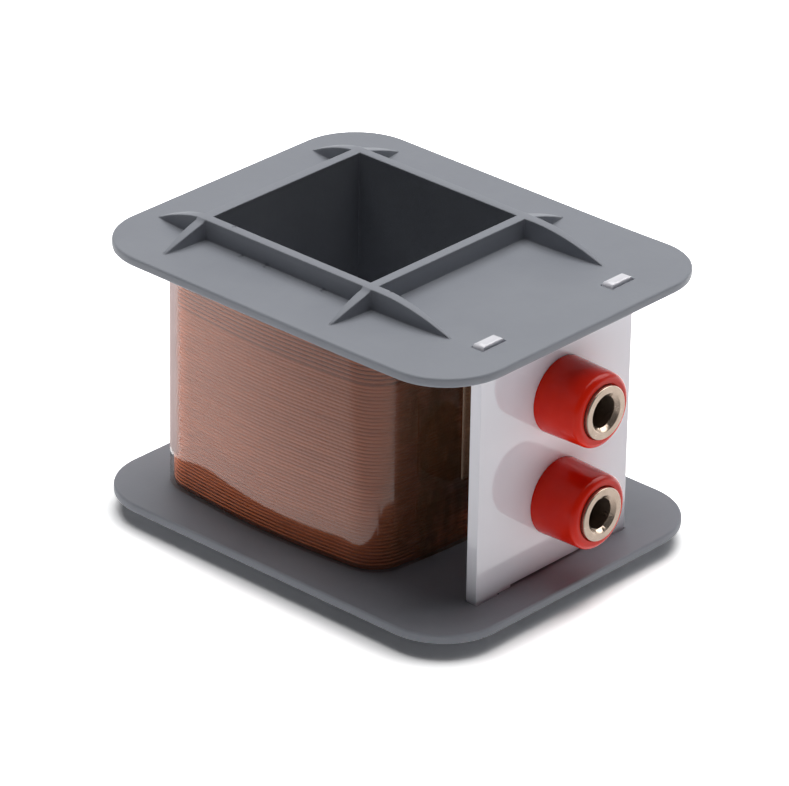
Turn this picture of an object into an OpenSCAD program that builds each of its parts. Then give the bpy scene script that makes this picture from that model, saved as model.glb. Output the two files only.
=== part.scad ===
// Plug-in coil of a teaching transformer kit.
// A moulded former with a square hole for the iron core carries the winding, and a terminal plate caught
// between its flanges carries two sockets for 4 mm plugs.
// Origin: the axis of the core opening, on the face that the coil stands on. The sockets face -Y.

/* [Former] */
// Side of the square hole for the core
core_opening = 26; // [22:0.5:28]
// Wall of the square tube, its rims and its ribs
tube_wall = 1.1; // [0.9:0.1:1.6]
// Height of the winding space between the two flanges
window_h = 32.3; // [30:0.1:40]
// Thickness of a flange
flange_t = 1.2; // [1:0.1:2]
// Height of the rims and ribs over a flange
rim_h = 2.3; // [1.5:0.1:3.5]
// Reach of a flange past the tube, left and right
side_reach = 9.9; // [9:0.1:12]
// Reach of a flange past the tube at the back
back_reach = 10.1; // [9:0.1:12]
// Reach of a flange past the tube on the socket side
front_reach = 22; // [21:0.1:26]
// Radius of a flange's corners
flange_corner_r = 8.5; // [6:0.5:10]
// Length of the ribs that run left and right
side_rib_l = 6.6; // [5:0.1:8]
// Length of the ribs that run to the back
back_rib_l = 7.3; // [5:0.1:9]
// Length of the ribs that run towards the sockets
front_rib_l = 12.2; // [8:0.1:14]

/* [Winding] */
// Height of the copper over the tube wall
winding_t = 4.3; // [3:0.1:5]
// Corner radius of the finished winding
winding_corner_r = 8; // [6:0.5:9]
// Turns drawn on the outer layer
shown_turns = 24; // [12:1:24]
// Thickness of the drawn turns
turn_d = 0.8; // [0.6:0.05:0.8]
// Gap between the drawn turns and the layers under them
turn_seat_gap = 0.2; // [0.15:0.05:0.3]
// Where the drawn turns begin and end, right of the coil's middle
turn_start_x = 4; // [3:0.5:5]
// Enamelled wire of the two leads
wire_d = 0.49; // [0.3:0.01:0.5]
// Gap between the start lead and the turn over it
lead_gap = 0.12; // [0.1:0.02:0.2]
// Where the start lead leaves the winding, right of the coil's middle
lead_exit_x = 8.5; // [7.5:0.5:9]
// Gap that the winding and what is wrapped round it leave at each flange
flange_gap = 0.1; // [0.05:0.05:0.2]

/* [Film] */
// Thickness of the clear cover film
film_t = 0.2; // [0.1:0.05:0.3]
// Gap between the copper and the film
film_gap = 0.6; // [0.3:0.1:0.8]
// Width of the notches where the leads pass the film
notch_w = 3.4; // [3:0.1:4]
// Height of these notches
notch_h = 2.6; // [2:0.1:3.5]
// Width of the closing tape
tape_w = 11; // [8:0.5:11]
// Distance of the tape to the right of the coil's middle
tape_shift = 0.5; // [0:0.1:0.5]
// Length of the closing tape, down from the upper flange
tape_l = 25; // [15:0.5:28]
// Thickness of the closing tape
tape_t = 0.15; // [0.1:0.05:0.2]

/* [Terminal plate] */
// Width of the plate
plate_w = 27; // [26:0.5:32]
// Thickness of the plate
plate_t = 1.6; // [1.2:0.1:2]
// Distance from the flanges' front edge to the plate's front face
plate_setback = 4.9; // [3.5:0.1:5.5]
// Width of a tab through a flange
tab_w = 4.3; // [3:0.1:5]
// Distance from the plate's side to a tab
tab_inset = 0.2; // [0.1:0.1:0.5]
// Height of a tab over the flange that it passes
tab_proud = 0.75; // [0.3:0.05:1.2]
// Chamfer on the tip of a tab
tab_chamfer = 0.5; // [0.2:0.05:0.6]
// Width of the shoulder on each side of the plate that meets the flanges
foot_w = 6.2; // [5.5:0.1:8]
// Height of the relief between the shoulders
foot_h = 0.4; // [0.2:0.1:1]
// Clearance of a tab in its slot, all round
slot_clear = 0.15; // [0.1:0.05:0.3]

/* [Sockets] */
// Bore of a socket, for a 4 mm plug
socket_bore = 4; // [4:0.02:4.1]
// Distance between the two sockets
socket_pitch = 13.6; // [12:0.1:16]
// Distance of the sockets to the right of the plate's middle
socket_shift = 0.8; // [0:0.1:1]
// Diameter of a socket's threaded shank
shank_d = 6; // [5.8:0.1:6.5]
// Length of a shank behind the plate
shank_tail = 8.2; // [6:0.1:8.5]
// Diameter of a socket's head
head_d = 6.8; // [6.6:0.1:7.6]
// Thickness of a socket's head
head_t = 0.75; // [0.6:0.05:1]
// Depth that the head sits in the collar
head_seat = 0.3; // [0.1:0.05:0.5]
// Diameter of the countersink at a socket's mouth
mouth_d = 5; // [4.6:0.1:5.6]
// Diameter of a collar at the plate
collar_d = 9.9; // [9:0.1:11]
// Diameter of a collar at its front
collar_front_d = 9.5; // [9:0.1:11]
// Length of a collar
collar_l = 6.7; // [5:0.1:10]
// Rounding of a collar's front edge
collar_round = 0.8; // [0.3:0.1:1]
// Chamfer at a shank's rear end
shank_chamfer = 0.4; // [0.2:0.1:0.6]
// Clearance of the shank in the plate, the collar, the tag, the washer and the nut
shank_clear = 0.1; // [0.05:0.05:0.2]

/* [Fittings behind the plate] */
// Diameter of a solder tag's ring
tag_d = 9; // [8.4:0.1:10]
// Thickness of a solder tag
tag_t = 0.5; // [0.3:0.1:0.8]
// Width of a solder tag's tongue
tongue_w = 2.8; // [2.2:0.1:3.4]
// Length of the tongue past its bend
tongue_l = 5; // [4:0.1:6]
// Angle that the tongue is bent back
tongue_bend = 35; // [20:1:45]
// Diameter of the eye in the tongue
eye_d = 1.2; // [1:0.1:1.5]
// Diameter of a toothed lock washer
washer_d = 9; // [8.4:0.1:10]
// Thickness of a lock washer
washer_t = 0.6; // [0.4:0.1:1]
// Teeth of a lock washer
washer_teeth = 10; // [8:1:14]
// Size across the flats of a nut
nut_af = 9; // [8:0.1:10]
// Thickness of a nut
nut_t = 2.2; // [1.6:0.1:3]
// Chamfer on a nut's corners
nut_chamfer = 0.5; // [0.3:0.1:0.8]
// Radius of a solder joint
solder_r = 1.2; // [1:0.1:1.3]
// Clearance of a lead in its solder joint
solder_clear = 0.05; // [0.02:0.01:0.1]
// Straight pull of a lead as it leaves the winding
lead_pull = 8; // [6:0.5:9]
// Straight pull of a lead before its solder tag
tag_pull = 4; // [3:0.5:5]
// Slack of a lead, up or down, before its solder tag
lead_slack = 3; // [1:0.5:4]
// Gap between the end of a lead and its solder tag
lead_end_gap = 0.1; // [0.05:0.05:0.2]
// Outer diameter of a lead's sleeve
sleeve_d = 1.1; // [1:0.05:1.3]
// Wall of a lead's sleeve
sleeve_wall = 0.2; // [0.15:0.05:0.2]

/* [Hidden] */
$fn = 96;

// How far a cut runs past the face that it opens
overrun = 0.5;

// Levels of the former
core_half = core_opening / 2;
tube_half = core_half + tube_wall;
low_z = rim_h + flange_t;
high_z = low_z + window_h;
coil_h = high_z + flange_t + rim_h;
mid_z = coil_h / 2;
flange_front = tube_half + front_reach;
flange_back = tube_half + back_reach;
flange_half = tube_half + side_reach;

// Copper: the plain inner layers, and one drawn layer over them
copper_half = tube_half + winding_t;
layers_half = copper_half - turn_d - turn_seat_gap;
layers_r = winding_corner_r - turn_d - turn_seat_gap;
turn_half = copper_half - turn_d / 2;
turn_r = winding_corner_r - turn_d / 2;
lead_exit_z = low_z + flange_gap + lead_gap + wire_d / 2;
first_turn_z = lead_exit_z + wire_d / 2 + lead_gap + turn_d / 2;
last_turn_z = high_z - flange_gap - lead_gap - turn_d / 2;
climb_l = 3 * turn_d;

// Path of the drawn turns: six rings on each corner's arc, and a level rise along the way
corner_rings = 6;
loop_rings = 4 * corner_rings;
turn_sides = 6;
corner_step = 90 / (corner_rings - 1);
straight_half = turn_half - turn_r;
quarter_l = 2 * straight_half + PI * turn_r / 2;
turn_pitch = (last_turn_z - first_turn_z) / shown_turns;

// Film and tape
film_in_half = copper_half + film_gap;
film_out_half = film_in_half + film_t;
film_in_r = winding_corner_r + film_gap;
wrap_low_z = low_z + flange_gap;
wrap_high_z = high_z - flange_gap;

// Terminal plate and sockets
plate_front = flange_front - plate_setback;
tab_mid_x = plate_w / 2 - tab_inset - tab_w / 2;
low_socket_z = mid_z - socket_pitch / 2;
high_socket_z = mid_z + socket_pitch / 2;
shank_hole_r = shank_d / 2 + shank_clear;
head_hole_r = head_d / 2 + shank_clear;
round_steps = 8;

// Behind the plate, from its back face: tag, lock washer, nut
tag_z = -plate_t - tag_t;
washer_z = tag_z - washer_t;
nut_z = washer_z - nut_t;
tail_z = -plate_t - shank_tail;
bend_x = max(tag_d, nut_af) / 2 + tag_t;
eye_l = tongue_l - tongue_w / 2;

// Eye of a tag on its rear face, in the socket's own frame, and the way out of it
eye_x = bend_x + eye_l * cos(tongue_bend) - tag_t * sin(tongue_bend);
eye_depth = plate_t + eye_l * sin(tongue_bend) + tag_t * cos(tongue_bend);
eye_way = [-sin(tongue_bend), cos(tongue_bend), 0];
lead_sides = 8;
lead_steps = 14;
steps_before_sleeve = 5;
steps_in_sleeve = 8;

// A plan outline with round corners, between two corners of its box
module rounded_rect(x0, x1, y0, y1, r) {
    translate([x0 + r, y0])
        square([x1 - x0 - 2 * r, y1 - y0]);
    translate([x0, y0 + r])
        square([x1 - x0, y1 - y0 - 2 * r]);
    for (x = [x0 + r, x1 - r], y = [y0 + r, y1 - r])
        translate([x, y])
            circle(r);
}

module rounded_square(half, r) {
    rounded_rect(-half, half, -half, half, r);
}

// One rib along +X from the tube, level with the rim where it starts and falling in an arc to the flange
module rib(l) {
    arc_r = (l * l + rim_h * rim_h) / (2 * rim_h);
    translate([0, tube_wall, 0])
        rotate([90, 0, 0])
            linear_extrude(tube_wall)
                intersection() {
                    translate([-tube_wall, 0])
                        square([l + tube_wall, rim_h]);
                    translate([0, rim_h - arc_r])
                        circle(arc_r, $fn = 4 * $fn);
                }
}

// The eight ribs over one flange, each carrying a rim wall on past its corner
module ribs() {
    for (y = [-tube_half, core_half]) {
        translate([tube_half, y, 0])
            rib(side_rib_l);
        mirror([1, 0, 0])
            translate([tube_half, y, 0])
                rib(side_rib_l);
    }
    for (x = [-core_half, tube_half]) {
        translate([x, tube_half, 0])
            rotate([0, 0, 90])
                rib(back_rib_l);
        mirror([0, 1, 0])
            translate([x, tube_half, 0])
                rotate([0, 0, 90])
                    rib(front_rib_l);
    }
}

// A flange's plate, with the two slots for the tabs
module flange() {
    difference() {
        linear_extrude(flange_t)
            rounded_rect(-flange_half, flange_half, -flange_front, flange_back, flange_corner_r);
        for (x = [-tab_mid_x, tab_mid_x])
            translate([x - tab_w / 2 - slot_clear, -plate_front - slot_clear, -overrun])
                cube([tab_w + 2 * slot_clear, plate_t + 2 * slot_clear, flange_t + 2 * overrun]);
    }
}

// One moulding: the square tube, its rims, two flanges and the ribs over each
module coil_former() {
    color("dimgray")
        difference() {
            union() {
                translate([-tube_half, -tube_half, 0])
                    cube([2 * tube_half, 2 * tube_half, coil_h]);
                translate([0, 0, rim_h])
                    flange();
                translate([0, 0, high_z])
                    flange();
                translate([0, 0, high_z + flange_t])
                    ribs();
                translate([0, 0, rim_h])
                    mirror([0, 0, 1])
                        ribs();
            }
            translate([-core_half, -core_half, -overrun])
                cube([core_opening, core_opening, coil_h + 2 * overrun]);
        }
}

// The layers of wire under the outer one, with the step where the wire climbs to the outer layer
module winding_core() {
    color("sienna")
        difference() {
            union() {
                translate([0, 0, wrap_low_z])
                    linear_extrude(wrap_high_z - wrap_low_z)
                        rounded_square(layers_half, layers_r);
                translate([turn_start_x - climb_l, -copper_half, first_turn_z - turn_d / 2])
                    cube([climb_l, winding_t, turn_d]);
            }
            translate([-tube_half, -tube_half, low_z - overrun])
                cube([2 * tube_half, 2 * tube_half, window_h + 2 * overrun]);
        }
}

// A ring of points round a place on a path, which is [centre, side, other side]
function ring(place, r, sides) = [
    for (j = [0:sides - 1])
        let (a = 360 * (j + 0.5) / sides)
            place[0] + r * (cos(a) * place[1] + sin(a) * place[2])
];

// Triangles of a tube's wall, for rings that follow each other from a first point on
function wall_faces(rings, sides, first = 0) = [
    for (i = [0:rings - 2], j = [0:sides - 1])
        let (
            k = (j + 1) % sides,
            near = first + i * sides,
            far = near + sides
        )
            each [[far + j, far + k, near + k], [far + j, near + k, near + j]]
];

function flipped(faces) = [for (f = faces) [f[2], f[1], f[0]]];

// Triangles that close a tube's first ring; flipped, they close its last
function end_faces(sides, first = 0) = [
    for (j = [1:sides - 2])
        [first, first + j, first + j + 1]
];

// Triangles between a first ring and the ring inside it
function rim_faces(sides, outer, inner) = [
    for (j = [0:sides - 1])
        let (k = (j + 1) % sides)
            each [[outer + j, outer + k, inner + k], [outer + j, inner + k, inner + j]]
];

module swept_tube(places, r, sides) {
    last = (len(places) - 1) * sides;
    polyhedron(
        points = [for (p = places) each ring(p, r, sides)],
        faces = concat(
            wall_faces(len(places), sides),
            end_faces(sides),
            flipped(end_faces(sides, last))
        )
    );
}

module swept_sleeve(places, r, wall, sides) {
    inside = len(places) * sides;
    last = (len(places) - 1) * sides;
    polyhedron(
        points = concat(
            [for (p = places) each ring(p, r, sides)],
            [for (p = places) each ring(p, r - wall, sides)]
        ),
        faces = concat(
            wall_faces(len(places), sides),
            flipped(wall_faces(len(places), sides, inside)),
            rim_faces(sides, 0, inside),
            flipped(rim_faces(sides, last, inside + last))
        )
    );
}

// A place on the drawn turns: corner 0 is front right, and the wire goes round to the left front corner
function turn_place(loop, corner, i) =
    let (
        a = corner * 90 - 90 + corner_step * i,
        out = [cos(a), sin(a), 0],
        way = straight_half - turn_start_x + corner * quarter_l + turn_r * corner_step * i * PI / 180,
        mid = rotated([straight_half, -straight_half, 0], corner)
    )
        [
            mid + turn_r * out + [0, 0, first_turn_z + turn_pitch * (loop + way / (4 * quarter_l))],
            out,
            [0, 0, -1]
        ];

// A point turned by a number of quarter turns about Z
function rotated(p, quarters) = quarters == 0 ? p : rotated([-p.y, p.x, p.z], quarters - 1);

function turn_end(z) = [[turn_start_x, -turn_half, z], [0, -1, 0], [0, 0, -1]];

turn_path = concat(
    [turn_end(first_turn_z)],
    [
        for (loop = [0:shown_turns - 1], corner = [0:3], i = [0:corner_rings - 1])
            turn_place(loop, corner, i)
    ],
    [turn_end(last_turn_z)]
);

// Least gap of the drawn turns to the next ones, measured between the points of their path
least_gap = min([
    for (i = [0:len(turn_path) - loop_rings - 2], k = [-1:1])
        norm(turn_path[i][0] - turn_path[i + loop_rings + k][0])
]) - turn_d;
echo(least_gap_of_the_turns = least_gap);

// The outer layer, one unbroken wire
module winding_outer_layer() {
    color("peru")
        swept_tube(turn_path, turn_d / 2, turn_sides);
}

// Clear film round the winding, notched where the leads pass
module cover_film() {
    color("aliceblue", 0.4)
        difference() {
            translate([0, 0, wrap_low_z])
                linear_extrude(wrap_high_z - wrap_low_z)
                    difference() {
                        rounded_square(film_out_half, film_in_r + film_t);
                        rounded_square(film_in_half, film_in_r);
                    }
            for (z = [wrap_low_z - overrun, wrap_high_z - notch_h])
                translate([lead_exit_x - notch_w / 2, -film_out_half - overrun, z])
                    cube([notch_w, film_t + film_gap + overrun, notch_h + overrun]);
        }
}

// Tape that holds the film's end, behind the terminal plate
module closing_tape() {
    color("wheat", 0.5)
        translate([tape_shift - tape_w / 2, -film_out_half - tape_t, wrap_high_z - tape_l])
            cube([tape_w, tape_t, tape_l]);
}

// A lead's route is a curve from where it leaves the winding to the eye of its tag
function curve(p, t) =
    pow(1 - t, 3) * p[0] + 3 * pow(1 - t, 2) * t * p[1] + 3 * (1 - t) * pow(t, 2) * p[2] + pow(t, 3) * p[3];

function heading(p, t) =
    pow(1 - t, 2) * (p[1] - p[0]) + 2 * (1 - t) * t * (p[2] - p[1]) + pow(t, 2) * (p[3] - p[2]);

function unit(v) = v / norm(v);

function place(at, way) =
    let (side = unit(cross([0, 0, 1], way)))
        [at, side, unit(cross(way, side))];

function eye_at(socket_z) = [socket_shift + eye_x, -plate_front + eye_depth, socket_z];

// Control points, from a start and its pull to the top of the solder on a tag
function lead_points(from, pull, socket_z, slack) =
    let (to = eye_at(socket_z) + solder_r * eye_way)
        [from, from + pull, to + tag_pull * eye_way + [0, 0, slack], to];

// Places along a lead: a straight start, the curve, and a straight end in the solder
function lead_path(start, p, socket_z) = concat(
    [place(start, p[1] - p[0])],
    [for (i = [0:lead_steps]) place(curve(p, i / lead_steps), heading(p, i / lead_steps))],
    [place(eye_at(socket_z) + lead_end_gap * eye_way, -eye_way)]
);

start_points = lead_points(
    [lead_exit_x, -copper_half, lead_exit_z], [0, -lead_pull / 2, 0], low_socket_z, -lead_slack
);
start_path = lead_path([lead_exit_x, -layers_half, lead_exit_z], start_points, low_socket_z);

end_points = lead_points(
    [turn_start_x + turn_d, -turn_half, last_turn_z], [lead_pull, 0, 0], high_socket_z, lead_slack
);
end_path = lead_path([turn_start_x, -turn_half, last_turn_z], end_points, high_socket_z);

// The places of a lead that its sleeve covers
function sleeved(path) = [for (i = [0:steps_in_sleeve]) path[steps_before_sleeve + i]];

module start_lead() {
    color("peru")
        swept_tube(start_path, wire_d / 2, lead_sides);
}

module end_lead() {
    color("peru")
        swept_tube(end_path, wire_d / 2, lead_sides);
}

module start_lead_sleeve() {
    color("khaki")
        swept_sleeve(sleeved(start_path), sleeve_d / 2, sleeve_wall, lead_sides);
}

module end_lead_sleeve() {
    color("khaki")
        swept_sleeve(sleeved(end_path), sleeve_d / 2, sleeve_wall, lead_sides);
}

// A tab with a chamfered tip, its root on the ground and its middle on the Z axis
module tab(h) {
    intersection() {
        translate([0, plate_t / 2, 0])
            rotate([90, 0, 0])
                linear_extrude(plate_t)
                    chamfered_tip(tab_w, h);
        translate([-tab_w / 2, 0, 0])
            rotate([90, 0, 90])
                linear_extrude(tab_w)
                    chamfered_tip(plate_t, h);
    }
}

module chamfered_tip(w, h) {
    polygon([
        [-w / 2, 0], [w / 2, 0], [w / 2, h - tab_chamfer], [w / 2 - tab_chamfer, h],
        [tab_chamfer - w / 2, h], [-w / 2, h - tab_chamfer]
    ]);
}

// White plate between the flanges, on shoulders beside its tabs
module terminal_plate() {
    color("white")
        difference() {
            translate([0, -plate_front, 0]) {
                translate([-plate_w / 2, 0, low_z + foot_h])
                    cube([plate_w, plate_t, window_h - 2 * foot_h]);
                for (x = [-plate_w / 2, plate_w / 2 - foot_w])
                    translate([x, 0, low_z])
                        cube([foot_w, plate_t, window_h]);
                for (x = [-tab_mid_x, tab_mid_x]) {
                    translate([x, plate_t / 2, high_z - overrun])
                        tab(flange_t + tab_proud + overrun);
                    translate([x, plate_t / 2, low_z + overrun])
                        mirror([0, 0, 1])
                            tab(flange_t + tab_proud + overrun);
                }
            }
            for (z = [low_socket_z, high_socket_z])
                at_socket(z)
                    translate([0, 0, -plate_t - overrun])
                        cylinder(r = shank_hole_r, h = plate_t + 2 * overrun);
        }
}

// A socket's own frame: Z runs out of its mouth, from the plate's front face
module at_socket(z) {
    translate([socket_shift, -plate_front, z])
        rotate([90, 0, 0])
            children();
}

module insulating_collar(z) {
    front_r = collar_front_d / 2;
    color("red")
        at_socket(z)
            rotate_extrude()
                polygon(concat(
                    [[shank_hole_r, 0], [collar_d / 2, 0]],
                    [
                        for (i = [0:round_steps])
                            let (a = 90 * i / round_steps)
                                [
                                    front_r - collar_round * (1 - cos(a)),
                                    collar_l - collar_round * (1 - sin(a))
                                ]
                    ],
                    [
                        [head_hole_r, collar_l], [head_hole_r, collar_l - head_seat],
                        [shank_hole_r, collar_l - head_seat]
                    ]
                ));
}

// Nickel-plated tube with a head, bored right through for the plug
module socket_body(z) {
    bore_r = socket_bore / 2;
    head_z = collar_l - head_seat;
    mouth_z = head_z + head_t;
    color("silver")
        at_socket(z)
            rotate_extrude()
                polygon([
                    [bore_r, tail_z], [shank_d / 2 - shank_chamfer, tail_z],
                    [shank_d / 2, tail_z + shank_chamfer], [shank_d / 2, head_z],
                    [head_d / 2, head_z], [head_d / 2, mouth_z], [mouth_d / 2, mouth_z],
                    [bore_r, mouth_z - (mouth_d - socket_bore) / 2]
                ]);
}

// Tinned tag: a ring round the shank, and a tongue bent back with an eye for the lead
module solder_tag(z) {
    color("gainsboro")
        at_socket(z) {
            translate([0, 0, tag_z])
                linear_extrude(tag_t)
                    difference() {
                        union() {
                            circle(tag_d / 2);
                            translate([0, -tongue_w / 2])
                                square([bend_x, tongue_w]);
                        }
                        circle(shank_hole_r);
                    }
            translate([bend_x, 0, -plate_t])
                rotate([0, tongue_bend, 0])
                    translate([0, 0, -tag_t])
                        linear_extrude(tag_t)
                            difference() {
                                union() {
                                    translate([0, -tongue_w / 2])
                                        square([eye_l, tongue_w]);
                                    translate([eye_l, 0])
                                        circle(tongue_w / 2);
                                }
                                translate([eye_l, 0])
                                    circle(eye_d / 2);
                            }
        }
}

module lock_washer(z) {
    color("darkgray")
        at_socket(z)
            translate([0, 0, washer_z])
                linear_extrude(washer_t)
                    difference() {
                        circle(washer_d / 2);
                        circle(shank_hole_r);
                        for (i = [0:washer_teeth - 1])
                            rotate(360 * i / washer_teeth)
                                translate([washer_d / 2, 0])
                                    circle((washer_d / 2 - shank_hole_r) / 2);
                    }
}

module nut(z) {
    corner_r = nut_af / 2 / cos(30);
    color("silver")
        at_socket(z)
            translate([0, 0, nut_z])
                difference() {
                    intersection() {
                        rotate(30)
                            cylinder(r = corner_r, h = nut_t, $fn = 6);
                        rotate_extrude()
                            polygon([
                                [0, 0], [corner_r - nut_chamfer, 0], [corner_r, nut_chamfer / 2],
                                [corner_r, nut_t - nut_chamfer / 2],
                                [corner_r - nut_chamfer, nut_t], [0, nut_t]
                            ]);
                    }
                    translate([0, 0, -overrun])
                        cylinder(r = shank_hole_r, h = nut_t + 2 * overrun);
                }
}

// A dome of solder on the tag's eye, round the end of the lead
module solder_joint(z) {
    color("lightgray")
        at_socket(z)
            translate([bend_x, 0, -plate_t])
                rotate([0, tongue_bend, 0])
                    translate([eye_l, 0, -tag_t])
                        mirror([0, 0, 1])
                            difference() {
                                intersection() {
                                    sphere(solder_r);
                                    translate([-solder_r, -solder_r, 0])
                                        cube([2 * solder_r, 2 * solder_r, solder_r]);
                                }
                                cylinder(r = wire_d / 2 + solder_clear, h = solder_r + overrun);
                            }
}

coil_former();
winding_core();
winding_outer_layer();
cover_film();
closing_tape();
start_lead();
end_lead();
start_lead_sleeve();
end_lead_sleeve();
terminal_plate();
insulating_collar(low_socket_z);  // lower_insulating_collar
socket_body(low_socket_z);  // lower_socket_body
solder_tag(low_socket_z);  // lower_solder_tag
lock_washer(low_socket_z);  // lower_lock_washer
nut(low_socket_z);  // lower_nut
solder_joint(low_socket_z);  // lower_solder_joint
insulating_collar(high_socket_z);  // upper_insulating_collar
socket_body(high_socket_z);  // upper_socket_body
solder_tag(high_socket_z);  // upper_solder_tag
lock_washer(high_socket_z);  // upper_lock_washer
nut(high_socket_z);  // upper_nut
solder_joint(high_socket_z);  // upper_solder_joint
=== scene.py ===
import math
import random

import bpy
from mathutils import Matrix, Vector


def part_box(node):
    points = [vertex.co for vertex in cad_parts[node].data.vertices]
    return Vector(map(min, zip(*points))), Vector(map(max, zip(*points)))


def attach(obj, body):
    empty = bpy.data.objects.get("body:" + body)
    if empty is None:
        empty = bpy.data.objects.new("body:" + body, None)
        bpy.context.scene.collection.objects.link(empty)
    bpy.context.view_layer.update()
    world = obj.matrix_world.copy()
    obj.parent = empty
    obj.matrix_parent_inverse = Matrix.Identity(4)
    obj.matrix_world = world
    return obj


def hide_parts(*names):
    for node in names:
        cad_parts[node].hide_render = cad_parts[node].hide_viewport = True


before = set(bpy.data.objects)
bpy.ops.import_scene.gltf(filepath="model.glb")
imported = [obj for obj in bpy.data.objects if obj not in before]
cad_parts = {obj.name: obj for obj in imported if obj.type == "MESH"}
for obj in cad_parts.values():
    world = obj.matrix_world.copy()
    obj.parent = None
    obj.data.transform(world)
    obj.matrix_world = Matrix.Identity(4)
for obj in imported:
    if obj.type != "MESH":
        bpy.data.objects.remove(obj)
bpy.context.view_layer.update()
bpy.ops.object.select_all(action="DESELECT")

# Camera
# The photograph was taken from the left of the sockets and above them, from about 0.7 m away with a long
# lens. The angles, the distance and the lens were found from the edges of the flanges and the plate.
camera_azimuth = math.radians(-47.805)
camera_elevation = math.radians(26.927)
camera_roll = math.radians(1.021)
camera_distance = 0.68896
camera_aim = Vector((0, -0.00585, 0.02015))
sensor_w = 36
photo_w_px, photo_h_px = 789, 786
focal_px = 5663.8
axis_x_px, axis_y_px = 398.067, 375.447

camera_turn = (
    Matrix.Rotation(camera_azimuth, 4, "Z")
    @ Matrix.Rotation(math.pi / 2 - camera_elevation, 4, "X")
    @ Matrix.Rotation(camera_roll, 4, "Z")
)
camera_place = Matrix.Translation(camera_aim) @ camera_turn @ Matrix.Translation((0, 0, camera_distance))
bpy.ops.object.camera_add()
camera = bpy.context.object
camera.matrix_world = camera_place
camera.data.sensor_fit = "HORIZONTAL"
camera.data.sensor_width = sensor_w
camera.data.lens = focal_px / photo_w_px * sensor_w
camera.data.shift_x = (photo_w_px / 2 - axis_x_px) / photo_w_px
camera.data.shift_y = (axis_y_px - photo_h_px / 2) / photo_w_px
bpy.context.scene.camera = camera
bpy.context.scene.view_settings.view_transform = "Standard"

# Studio
# A white sweep that glows from below, as on a light table, up to a few millimetres from the lower flange.
# Its glow, and the light it gives back to the coil, fade to none round the flange's outline and under the
# coil: a painted shadow that, with the lamp's real shadow, leaves only the tight shadow next to the flange.
# A soft lamp hangs behind and over the coil, and what is glossy also mirrors a small soft box high on the
# right.
floor_size = 4
floor_bounce, floor_seen = 0.9, 1.6
glow_bounce, glow_seen = 0.5, 0.8
glow_start, glow_full = -0.0013, 0.0042
back_to_front = Vector((-0.74, -0.67, 0))
floor_fade, floor_mirrored = (-0.03, 0.05), (2.5, 0.6)
room_fade, room_mirrored = (-0.25, 0.2), (1.1, 0.12)
softbox_way = Vector((0.66, -0.3, 0.68)).normalized()
softbox_fade, softbox_mirrored = (0.97, 0.9), (4.0, 0.0)
shadow_shift = Vector((-0.0003, 0.0005, 0))
lamp_size = 1.1
lamp_place = Vector((0.2, 0.17, 1.0))
lamp_watts = 9.9
room_light = 0.04
flange_corner_r = 0.0085
foot_low, foot_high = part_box("coil_former")
foot_mid_y = (foot_low.y + foot_high.y) / 2
foot_flats = (foot_high.x - flange_corner_r, foot_high.y - foot_mid_y - flange_corner_r, 0)


def by_ray(nodes, links, lighting, mirrored, seen):
    """A number by what looks: the light on the object, its mirrors and clear film, or the camera."""
    path = nodes.new("ShaderNodeLightPath")
    value = lighting
    for kind, other in (("Glossy", mirrored), ("Transmission", mirrored), ("Camera", seen)):
        choice = nodes.new("ShaderNodeMix")
        links.new(path.outputs["Is " + kind + " Ray"], choice.inputs["Factor"])
        for side, number in (("A", value), ("B", other)):
            if isinstance(number, bpy.types.NodeSocket):
                links.new(number, choice.inputs[side])
            else:
                choice.inputs[side].default_value = number
        value = choice.outputs["Result"]
    return value


def fading(nodes, links, way, fade, brightness):
    """A brightness that goes from its first value to its second between two places along a direction."""
    where = nodes.new("ShaderNodeTexCoord")
    how_far = nodes.new("ShaderNodeVectorMath")
    how_far.operation = "DOT_PRODUCT"
    how_far.inputs[1].default_value = way
    links.new(where.outputs["Object"], how_far.inputs[0])
    change = nodes.new("ShaderNodeMapRange")
    for name, value in zip(("From Min", "From Max", "To Min", "To Max"), (*fade, *brightness)):
        change.inputs[name].default_value = value
    links.new(how_far.outputs["Value"], change.inputs["Value"])
    return change.outputs["Result"]


bpy.ops.mesh.primitive_plane_add(size=floor_size)
floor = bpy.context.object
floor.name = "floor"
floor_paper = bpy.data.materials.new("floor_paper")
floor_paper.use_nodes = True
nodes, links = floor_paper.node_tree.nodes, floor_paper.node_tree.links
nodes.remove(nodes["Principled BSDF"])
paper = nodes.new("ShaderNodeBsdfDiffuse")
last = nodes.new("ShaderNodeTexCoord").outputs["Object"]
for step, by in (
    ("SUBTRACT", shadow_shift + Vector((0, foot_mid_y, 0))), ("ABSOLUTE", (0, 0, 0)),
    ("SUBTRACT", foot_flats), ("MAXIMUM", (0, 0, 0)), ("LENGTH", (0, 0, 0)),
):
    towards_edge = nodes.new("ShaderNodeVectorMath")
    towards_edge.operation = step
    towards_edge.inputs[1].default_value = by
    links.new(last, towards_edge.inputs[0])
    last = towards_edge.outputs["Value" if step == "LENGTH" else "Vector"]
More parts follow.
